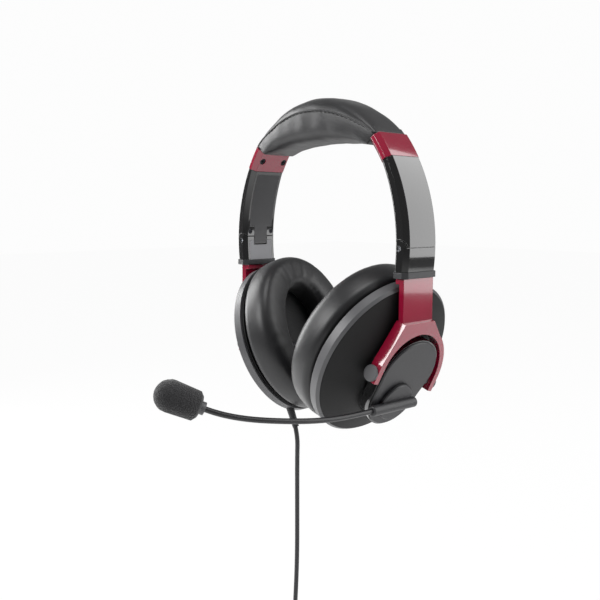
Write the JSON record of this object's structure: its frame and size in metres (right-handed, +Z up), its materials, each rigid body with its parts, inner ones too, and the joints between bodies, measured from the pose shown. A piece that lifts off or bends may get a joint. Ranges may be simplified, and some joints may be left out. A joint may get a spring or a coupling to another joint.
{
  "type": "gaming headset",
  "caption": "Wired over-ear gaming headset with padded headband, sliding arms, swivelling and tilting ear cups and a flip boom microphone.",
  "frame": {"origin": "middle of the head pad's underside, where the band rests on the head", "axes": "+Z up, -Y the way the wearer faces, +X to the wearer's left, which is the microphone side"},
  "size_m": [0.1537, 0.1978, 0.4327],
  "materials": {
    "leatherette": "soft grained",
    "gloss_black_plastic": "polished",
    "gloss_red_plastic": "polished",
    "matt_black_plastic": "matt",
    "satin_grey_plastic": "satin",
    "light_grey_plastic": "satin",
    "steel": "brushed",
    "nickel": "plated",
    "ear_cloth": "fine mesh",
    "foam": "open foam",
    "cable_rubber": "matt"
  },
  "bodies": {
    "headband": {"collar_screws": "steel", "headband_collar_left": "gloss_red_plastic", "headband_collar_right": "gloss_red_plastic", "headband_core": "matt_black_plastic", "headband_pad": "leatherette", "headband_spring": "steel"},
    "arm_left": {"arm_inner_plate_left": "satin_grey_plastic", "arm_screws_left": "steel", "arm_shell_left": "gloss_black_plastic", "fold_pin_left": "steel", "hinge_block_left": "gloss_black_plastic", "hinge_block_plate_left": "light_grey_plastic", "slider_strip_left": "steel", "swivel_ring_left": "satin_grey_plastic"},
    "yoke_left": {"pivot_pins_left": "steel", "swivel_post_left": "steel", "yoke_left": "gloss_red_plastic"},
    "cup_left": {"baffle_left": "matt_black_plastic", "baffle_screws_left": "steel", "cup_back_left": "matt_black_plastic", "cup_rim_left": "satin_grey_plastic", "cushion_ring_left": "matt_black_plastic", "driver_left": "matt_black_plastic", "ear_cushion_left": "leatherette", "ear_mesh_left": "ear_cloth", "pivot_housing_left": "gloss_black_plastic", "side_plate_left": "satin_grey_plastic"},
    "arm_right": {"arm_inner_plate_right": "satin_grey_plastic", "arm_screws_right": "steel", "arm_shell_right": "gloss_black_plastic", "fold_pin_right": "steel", "hinge_block_plate_right": "light_grey_plastic", "hinge_block_right": "gloss_black_plastic", "slider_strip_right": "steel", "swivel_ring_right": "satin_grey_plastic"},
    "yoke_right": {"pivot_pins_right": "steel", "swivel_post_right": "steel", "yoke_right": "gloss_red_plastic"},
    "cup_right": {"baffle_right": "matt_black_plastic", "baffle_screws_right": "steel", "cup_back_right": "matt_black_plastic", "cup_rim_right": "satin_grey_plastic", "cushion_ring_right": "matt_black_plastic", "driver_right": "matt_black_plastic", "ear_cushion_right": "leatherette", "ear_mesh_right": "ear_cloth", "pivot_housing_right": "gloss_black_plastic", "side_plate_right": "satin_grey_plastic", "strain_relief": "cable_rubber", "cable": "cable_rubber", "cable_coil": "cable_rubber", "cable_tie": "ear_cloth", "cable_tail": "cable_rubber", "plug_body": "matt_black_plastic", "plug_pin": "nickel"},
    "boom": {"boom_hub": "satin_grey_plastic", "boom_holder": "satin_grey_plastic", "boom": "cable_rubber", "microphone_capsule": "matt_black_plastic", "windscreen": "foam"}
  },
  "joints": [
    {"name": "height_left", "type": "slide", "parent": "headband", "child": "arm_left", "axis": [0.5657, 0, -0.8246], "range_m": [0, 0.018]},
    {"name": "swivel_left", "type": "hinge", "parent": "arm_left", "child": "yoke_left", "pos_m": [0.0706, 0, -0.0767], "axis": [0, 0, 1], "range_deg": [-18, 18]},
    {"name": "height_right", "type": "slide", "parent": "headband", "child": "arm_right", "axis": [-0.5657, 0, -0.8246], "range_m": [0, 0.018]},
    {"name": "swivel_right", "type": "hinge", "parent": "arm_right", "child": "yoke_right", "pos_m": [-0.0706, 0, -0.0767], "axis": [0, 0, 1], "range_deg": [-31, 5]},
    {"name": "tilt_left", "type": "hinge", "parent": "yoke_left", "child": "cup_left", "pos_m": [0.06017, 0.0025, -0.1348], "axis": [-0.0677, 0.9667, -0.2468], "range_deg": [-40, 0]},
    {"name": "tilt_right", "type": "hinge", "parent": "yoke_right", "child": "cup_right", "pos_m": [-0.06095, 0.0047, -0.1348], "axis": [0.1431, -0.9584, 0.2468], "range_deg": [-37, 3]},
    {"name": "boom_flip", "type": "hinge", "parent": "cup_left", "child": "boom", "pos_m": [0.05792, -0.00087, -0.14853], "axis": [0.9087, -0.0424, -0.4153], "range_deg": [-100, 30]}
  ]
}
